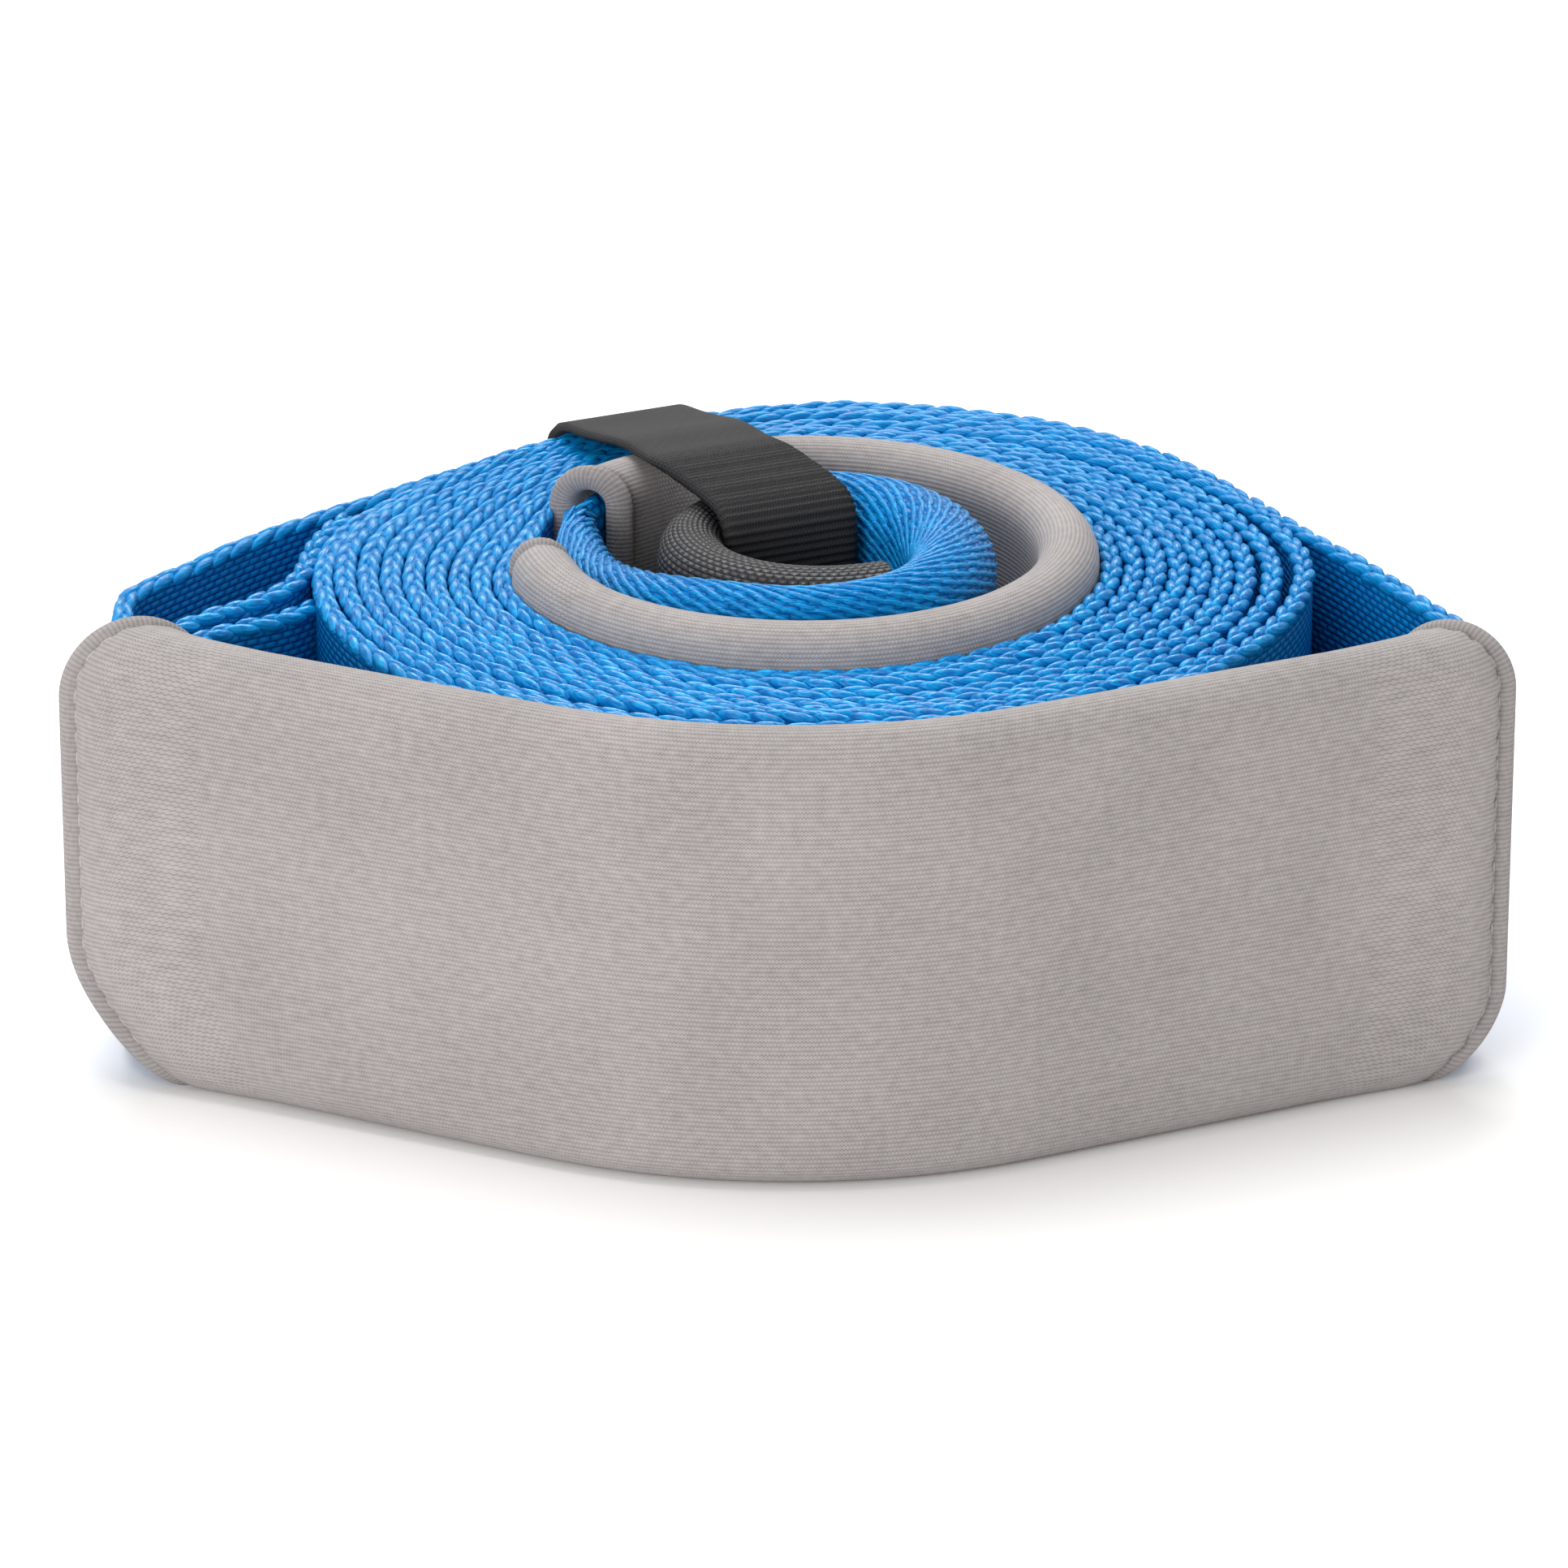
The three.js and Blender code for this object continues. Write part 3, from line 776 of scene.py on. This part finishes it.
@dataclass(frozen=True)
class Lip:
    """How a sleeve's skin and its lining lie near its mouth: distances from the end and offsets."""

    distances: tuple[float, ...] = (
        0.0, 0.2, 0.55, 1.1, 1.9, 2.7, 3.3, 3.75, 4.0, 4.25, 4.7, 5.4, 6.5, 8.0, 10.0, 13.0, 17.0, 22.0, 28.0)
    offsets: tuple[float, ...] = (
        -1.6, -0.75, -0.1, 0.35, 0.55, 0.35, -0.1, -0.85, -1.25, -0.95, -0.4, 0.05, 0.3, 0.45, 0.5, 0.45,
        0.3, 0.15, 0.0)
    groove: float = 4.0
    lining: tuple[float, ...] = (0.3, 1.2, 3.0, 8.0)
    lining_offsets: tuple[float, ...] = (-2.2, -2.8)


@dataclass(frozen=True)
class Sleeve:
    """A padded tube that lies along the webbing, hollow, with a hem and its ruffle at each mouth."""

    name: str
    outer: PlanLine
    inner: PlanLine
    bottom: float
    height: float
    around: int
    ruffle: Callable[[Array, Array, Array], Array]
    wall: float = 3.0
    lip: Lip = Lip()
    step: float = 3.0
    cuts: tuple[Pair, Pair] = ((0.0, 1.0), (0.0, 1.0))
    settle_zone: float = 60.0
    usual_half: float = 11.0
    stitch_pitch: float = 3.9
    stitch_half: Pair = (1.35, 0.3)
    stitch_depth: float = 0.95

    @property
    def length(self) -> float:
        """Length along the middle of the tube."""
        return (self.outer.length + self.inner.length) / 2

    def drawn(self, along: Array, share: Array) -> Array:
        """Distances along the tube with each mouth's lower corner drawn back, as its hem lies."""
        up = stadium(share, np.full_like(share, self.usual_half), np.full_like(share, self.height))[1]
        near, far = [reach * (1 - smooth(up, 0.0, tall)) for reach, tall in self.cuts]
        zone = self.settle_zone
        start, end = np.minimum(along, zone), np.minimum(self.length - along, zone)
        return along + near * (1 - start / zone) - far * (1 - end / zone)

    def stations(self) -> tuple[Array, Array]:
        """Places along the skin, out on the outer side and back inside, and their offsets."""
        near = np.array(self.lip.distances)
        swell = np.array(self.lip.offsets)
        count = int((self.length - 2 * near[-1]) / self.step)
        middle = np.linspace(near[-1], self.length - near[-1], count + 1)[1:-1]
        skin = np.r_[near, middle, self.length - near[::-1]]
        rise = np.r_[swell, 0 * middle, swell[::-1]]
        lining, depths = np.array(self.lip.lining), self.lip.lining_offsets
        back = np.r_[self.length - lining, middle[::-2], lining[::-1]]
        deep = np.r_[depths, np.full(len(back) - 2 * len(depths), -self.wall), depths[::-1]]
        return np.r_[skin, back, skin[0]], np.r_[rise, deep, rise[0]]

    @property
    def skin_count(self) -> int:
        """Number of stations on the outer skin."""
        reach = self.lip.distances[-1]
        return 2 * len(self.lip.distances) + int((self.length - 2 * reach) / self.step) - 1

    def surface(self, along: Array, share: Array, offset: Array) -> Array:
        """Positions at distances along the tube and shares round it, offset from its plain skin."""
        part = self.drawn(along, share) / self.length
        out = self.outer.place(part * self.outer.length, 0.0 * along)
        into = self.inner.place(part * self.inner.length, 0.0 * along)
        reach = unit(out - into)
        half = np.linalg.norm(out - into, axis=1) / 2
        across, up, angle = stadium(share, half, np.full_like(half, self.height))
        across = across + offset * np.cos(angle)
        up = up + offset * np.sin(angle)
        plan = (out + into) / 2 + reach * across[:, None]
        return np.column_stack([plan, self.bottom + up])

    def build(self, material: bpy.types.Material, thread: bpy.types.Material) -> None:
        """Models the tube and its two rows of stitches."""
        where, rise = self.stations()
        count = len(where) - 1

        def place(u: Array, v: Array) -> Array:
            """Positions for shares of the wrapped cloth."""
            index = np.rint(u * count).astype(int)
            along, offset = where[index], rise[index]
            outside = index < self.skin_count
            swell = self.ruffle(along, self.length - along, v)
            return self.surface(along, v, offset + swell * outside) + LAYOUT.shift

        body = Bench.wrap(f"{self.name}_knit", 2 * self.length, 2 * self.height, (count, self.around), place)
        settle(body, material, "neoprene", self.name)
        self.stitches(thread)

    def stitches(self, thread: bpy.types.Material) -> None:
        """Short threads in the groove of each hem."""
        pattern = Bench.bead(6, 4)
        for label, along in (("left", self.length - self.lip.groove), ("right", self.lip.groove)):
            fine = np.linspace(0.0, 1.0, 721)
            loop = self.surface(np.full_like(fine, along), fine, np.full_like(fine, -self.stitch_depth))
            way = travelled(loop)
            places = np.arange(0.0, way[-1] - 2.0, self.stitch_pitch)
            points, further = (np.column_stack([np.interp(at, way, loop[:, i]) for i in range(3)])
                               for at in (places, places + 1.0))
            ahead = unit(further - points)
            side = unit(np.cross(ahead, [[0.3, 0.2, 0.9]]))
            long, thin = self.stitch_half
            frames = np.stack([ahead * long, side * thin, np.cross(ahead, side) * thin], axis=2)
            row = Bench.copies(f"{self.name}_{label}_stitches", pattern, frames, points + LAYOUT.shift)
            settle(row, thread, "neoprene")


def hem_puckers(along: Array, left: Array, share: Array) -> Array:
    """Small puckers where the stitches gather each hem of the front sleeve, more on the right one."""
    turn, hem = share * 2 * math.pi, 5.4
    waves = np.sin(turn * 48.0) + 0.6 * np.sin(turn * 31.0 + 1.0)
    return waves * (0.22 * hump(along, hem, 1.8) + 0.1 * hump(left, hem, 1.6))


def inner_folds(along: Array, left: Array, share: Array) -> Array:
    """The flared front end of the inner sleeve, its soft folds, and its narrower back end."""
    folds = 0.7 * np.sin(along / 3.2 + 4.0 * share) * hump(left, 24.0, 14.0) * smooth(share, 0.5, 0.62)
    return folds + 1.3 * hump(left, 1.5, 4.0) - 0.6 * hump(along, 0.0, 4.0)


def front_sleeve() -> Sleeve:
    """The long sleeve on the loose outer turn, in front of the roll."""
    x, y = -2.5, 0.7
    outer = belt([Circle(108.9, -38.0, 18.0), Circle(x, y, 99.8), Circle(-113.3, -36.0, 20.0)], -30.0, -150.0)
    inner = belt([Circle(91.6, -39.0, 12.0), Circle(x, y, 89.4), Circle(-91.0, -37.0, 14.0)], 0.0, -180.0)
    return Sleeve("front_sleeve", PlanLine(outer), PlanLine(inner), 0.0, 84.0, around=160, step=2.5,
                  cuts=((9.0, 17.0), (15.0, 27.0)), ruffle=hem_puckers)


def inner_sleeve() -> Sleeve:
    """The sleeve round the gap in the middle of the roll."""
    outer, inner = PlanLine(arc(184.0, 509.0, 53.0)), PlanLine(arc(184.0, 504.0, 42.0))
    return Sleeve("inner_sleeve", outer, inner, 2.6, 82.5, around=96, ruffle=inner_folds)


@dataclass(frozen=True)
class FoldedEnd:
    """The inner end: the webbing folded lengthwise, its eye, and the cloth tube on the eye."""

    folded: Stops = (
        (500, 47.5), (510, 47.0), (522, 43.0), (538, 38.6), (557, 36.9), (590, 37.4), (630, 37.4), (660, 34.5),
        (690, 29.5), (720, 26.0), (750, 24.0), (780, 22.5), (810, 21.4), (835, 20.6))
    eye: Stops = (
        (835, 20.6), (860, 20.0), (880, 20.0), (900, 20.4), (925, 21.0), (950, 21.8), (980, 23.2), (1005, 24.4),
        (1025, 25.4))
    leg: Stops = ((145, 22.0), (160, 26.5), (175, 29.0), (200, 31.0), (225, 30.0), (240, 29.0))
    half: float = 4.4
    bulk: float = 3.2
    bottom: float = 50.0
    height: float = 37.5
    flat_half: float = 1.9
    flat_bottom: float = 6.35
    flat_height: float = 75.0
    gather_zone: Pair = (8.0, 26.0)
    rise_zone: Pair = (24.0, 80.0)
    bulk_zone: Pair = (92.0, 130.0)
    slim_zone: Pair = (155.0, 180.0)
    strand_spacing: float = 1.2
    strand_pitch: float = 3.9
    strand_slant: Pair = (1.6, 0.0085)
    strand_sink: float = 0.15
    strand_reach: float = 19.0
    strand_half: Triple = (3.0, 0.62, 0.45)
    cover_half: float = 6.6
    cover_bottom: float = 46.8
    cover_height: float = 39.4
    leg_half: float = 5.2
    leg_height: float = 30.0
    leg_top: float = 66.0
    leg_rise: float = 10.0
    step: float = 2.0

    def ridge(self, name: str, line: PlanLine, size: Callable[[Array], tuple[Array, Array, Array]],
              around: int) -> Piece:
        """A full bar along a plan line, with the half thickness, bottom and height that size gives."""
        def place(u: Array, v: Array) -> Array:
            """Positions for shares along and round."""
            return self.skin(line, u * line.length, v, size, 0.0) + LAYOUT.shift

        return Bench.wrap(name, line.length, 2 * self.height, (int(line.length / self.step), around), place)

    @staticmethod
    def skin(line: PlanLine, along: Array, share: Array, size: Callable, offset: float) -> Array:
        """Points on a bar's surface, at a height above it."""
        half, bottom, height = size(along)
        across, up, angle = stadium(share, half, height)
        plan = line.place(along, -(across + offset * np.cos(angle)))
        return np.column_stack([plan, bottom + up + offset * np.sin(angle)])

    def webbing_size(self, along: Array) -> tuple[Array, Array, Array]:
        """The folded webbing: flat in the sleeve, then gathered and folded."""
        gather = smooth(along, *self.gather_zone)
        rise = smooth(along, *self.rise_zone)
        half = self.flat_half + (self.half - self.flat_half) * gather + 0.25 * np.sin(along / 9.0) * gather
        half += self.bulk * smooth(along, *self.bulk_zone) * (1 - 0.5 * smooth(along, *self.slim_zone))
        height = self.flat_height - (self.flat_height - self.height) * gather
        hung = self.flat_bottom + self.flat_height - self.height
        bottom = self.flat_bottom + (hung - self.flat_bottom) * gather + (self.bottom - hung) * rise
        return half, bottom, height

    def cover_size(self, along: Array) -> tuple[Array, Array, Array]:
        """The cloth tube, a little puckered."""
        half = self.cover_half + 0.25 * np.sin(along / 5.0) + 0.15 * np.sin(along / 2.3 + 1.0)
        return half, self.cover_bottom + 0.0 * along, self.cover_height + 0.0 * along

    def leg_size(self, along: Array) -> tuple[Array, Array, Array]:
        """The low leg of the cover, seen in the eye's gap."""
        bottom = self.leg_top + self.leg_rise * hump(along, 22.0, 14.0) - self.leg_height
        return np.full_like(along, self.leg_half), bottom, np.full_like(along, self.leg_height)

    def strands(self, line: PlanLine) -> Piece:
        """Slanting yarn lobes over the folded webbing's top and sides."""
        rng = np.random.default_rng(11)
        pitch, (ahead_step, share_step) = self.strand_pitch, self.strand_slant
        fine = np.linspace(0, 1, 2001)
        across, up, _ = stadium(fine, np.full_like(fine, self.half), np.full_like(fine, self.height))
        way = travelled(np.column_stack([across, up]))
        low = way[np.argmax(up > self.height - self.strand_reach)]
        along, share = [], []
        for index, row in enumerate(np.arange(low, way[-1] - low, self.strand_spacing)):
            starts = np.arange(10.0 + (index % 3) * pitch / 3, line.length - 4.0, pitch)
            along.append(starts + rng.uniform(-0.5, 0.5, len(starts)))
            share.append(np.interp(row, way, fine) + rng.uniform(-0.0012, 0.0012, len(starts)))
        along, share = np.concatenate(along), np.concatenate(share)
        size, sink = self.webbing_size, -self.strand_sink
        points = self.skin(line, along, share, size, sink)
        ahead = unit(self.skin(line, along + ahead_step, share - share_step, size, sink) - points)
        side = unit(np.cross(self.skin(line, along, share, size, 1.0) - points, ahead))
        lift = np.cross(ahead, side)
        long, wide, thick = self.strand_half
        frames = np.stack([ahead * long, side * wide, lift * thick], axis=2)
        return Bench.copies("folded_strands", Bench.bead(6, 4), frames, points + LAYOUT.shift)

    def build(self, face: bpy.types.Material, yarn: bpy.types.Material, cloth: bpy.types.Material) -> None:
        """Models the folded webbing with its strands, and the cover."""
        line = PlanLine.route(self.folded)
        settle(self.ridge("folded_webbing", line, self.webbing_size, 40), face, "webbing")
        settle(self.strands(line), yarn, "webbing")
        eye = PlanLine.route(self.eye)
        settle(self.ridge("eye_cover", eye, self.cover_size, 48), cloth, "eye_cover", "inner_eye_cover")
        settle(self.ridge("eye_cover_leg", PlanLine.route(self.leg), self.leg_size, 40), cloth, "eye_cover")


@dataclass(frozen=True)
class Tie:
    """The hook-and-loop tie: a ribbon right round the roll's section and through the eye."""

    azimuth: float = 115.0
    width: float = 26.5
    sideways: float = 0.9
    thickness: float = 1.7
    rib_pitch: float = 1.5
    rib_relief: float = 0.35
    rib_heights: Pair = (60.0, 70.0)
    rib_radii: Pair = (30.0, 42.0)
    step: float = 0.4
    around: int = 32
    path: Stops = (
        (3.5, 1.0), (20.0, 1.0), (60.0, 1.0), (81.0, 1.0), (83.6, 3.0), (84.0, 20.0), (84.0, 60.0), (83.8, 73.0),
        (82.6, 77.8), (80.0, 80.2), (76.0, 81.3), (68.0, 82.6), (60.0, 84.3), (53.0, 86.0), (48.0, 86.8),
        (42.0, 87.0), (30.0, 88.2), (14.0, 88.4), (7.0, 87.8), (4.0, 85.5), (3.5, 80.0), (3.5, 60.0),
        (3.5, 20.0), (3.5, 1.0))

    def ribbon(self, name: str, line: PlanLine) -> Piece:
        """A ribbon of the tie's cloth along a line of distances from the roll's middle and heights."""
        way = polar(self.azimuth, 1.0)
        aside = np.array([-way[1], way[0]])

        def place(u: Array, v: Array) -> Array:
            """Positions for shares along the ribbon and round its section."""
            along = u * line.length
            across, up, _ = stadium(v, np.full_like(v, self.thickness / 2), np.full_like(v, self.width))
            run = line.place(along, np.zeros_like(along))
            ribs = smooth(run[:, 1], *self.rib_heights) * (1 - smooth(run[:, 0], *self.rib_radii))
            relief = self.rib_relief * ribs * np.cos(along * 2 * math.pi / self.rib_pitch)
            spot = line.place(along, -(across + relief))
            plan = spot[:, :1] * way + (up - self.width / 2 + self.sideways)[:, None] * aside
            return np.column_stack([plan, spot[:, 1]]) + LAYOUT.shift

        return Bench.wrap(name, line.length, 2 * self.width, (int(line.length / self.step), self.around), place)

    def build(self, cloth: bpy.types.Material) -> None:
        """Models the ribbon along its path."""
        line = PlanLine(np.array(self.path), step=0.3, relax=40)
        settle(self.ribbon("tie_ribbon", line), cloth, "tie", "hook_and_loop_tie")


@dataclass(frozen=True)
class Studio:
    """The photographer's side: camera, lights and a white floor."""

    target: Triple = (-1.4, 9.36, 33.5)
    distance: float = 1600.0
    elevation: float = 22.1
    lens: float = 202.1
    sensor: float = 36.0
    near: float = 50.0
    room_light: float = 0.6
    lamps: tuple[tuple, ...] = (
        ("overhead", (-150.0, 150.0, 1200.0), (800.0, 600.0), 8.0),
        ("back", (60.0, 1100.0, 850.0), (900.0, 300.0), 8.0),
        ("front", (-750.0, -1400.0, 600.0), (800.0, 800.0), 13.0))
    aim: Triple = (0.0, 0.0, 40.0)
    floor_size: float = 12000.0
    floor_drop: float = 0.2

    def camera(self) -> None:
        """The camera, in front of the roll and a little above it."""
        rise = math.radians(self.elevation)
        away = np.array([0.0, -math.cos(rise), math.sin(rise)])
        spot = (np.array(self.target) + away * self.distance) * MM
        bpy.ops.object.camera_add(location=spot, rotation=(math.pi / 2 - rise, 0.0, 0.0))
        camera = bpy.context.object
        camera.data.lens = self.lens
        camera.data.sensor_width = self.sensor
        camera.data.clip_start = self.near * MM
        bpy.context.scene.camera = camera

    def lamp(self, name: str, spot: Sequence[float], size: Sequence[float], watts: float) -> None:
        """A soft box that looks at the roll."""
        at = np.array(spot) * MM
        bpy.ops.object.light_add(type="AREA", location=at)
        lamp = bpy.context.object
        lamp.name = name
        lamp.rotation_euler = Vector(np.array(self.aim) * MM - at).to_track_quat("-Z", "Y").to_euler()
        lamp.data.shape = "RECTANGLE"
        lamp.data.size, lamp.data.size_y = size[0] * MM, size[1] * MM
        lamp.data.energy = watts

    def floor(self) -> None:
        """A white floor that goes on to the white background."""
        bpy.ops.mesh.primitive_plane_add(size=self.floor_size * MM, location=(0.0, 0.0, -self.floor_drop * MM))
        plane = Bench.take("floor")
        material = bpy.data.materials.new("floor_white")
        material.use_nodes = True
        shader = material.node_tree.nodes["Principled BSDF"]
        shader.inputs["Base Color"].default_value = (1.0, 0.99, 0.98, 1.0)
        shader.inputs["Roughness"].default_value = 1.0
        shader.inputs["Specular IOR Level"].default_value = 0.0
        plane.data.materials.append(material)

    def build(self) -> None:
        """Sets the whole studio."""
        scene = bpy.context.scene
        scene.view_settings.view_transform = "Standard"
        world = bpy.data.worlds.new("white_room")
        world.use_nodes = True
        shade = world.node_tree.nodes["Background"]
        shade.inputs[0].default_value = (1.0, 1.0, 1.0, 1.0)
        shade.inputs[1].default_value = self.room_light
        scene.world = world
        self.camera()
        self.floor()
        for lamp in self.lamps:
            self.lamp(*lamp)


def main() -> None:
    """Builds the pieces and the studio around them."""
    logging.basicConfig(level=logging.INFO, format="%(name)s %(message)s")
    face, yarn = WEBBING_FACE.build(), WEBBING_YARN.build()
    knit, thread = NEOPRENE.build(), THREAD.build()
    Strap().build(face, yarn)
    front_sleeve().build(knit, thread)
    inner_sleeve().build(knit, thread)
    FoldedEnd().build(face, yarn, EYE_CLOTH.build())
    Tie().build(TIE_CLOTH.build())
    Studio().build()


if __name__ == "__main__":
    main()
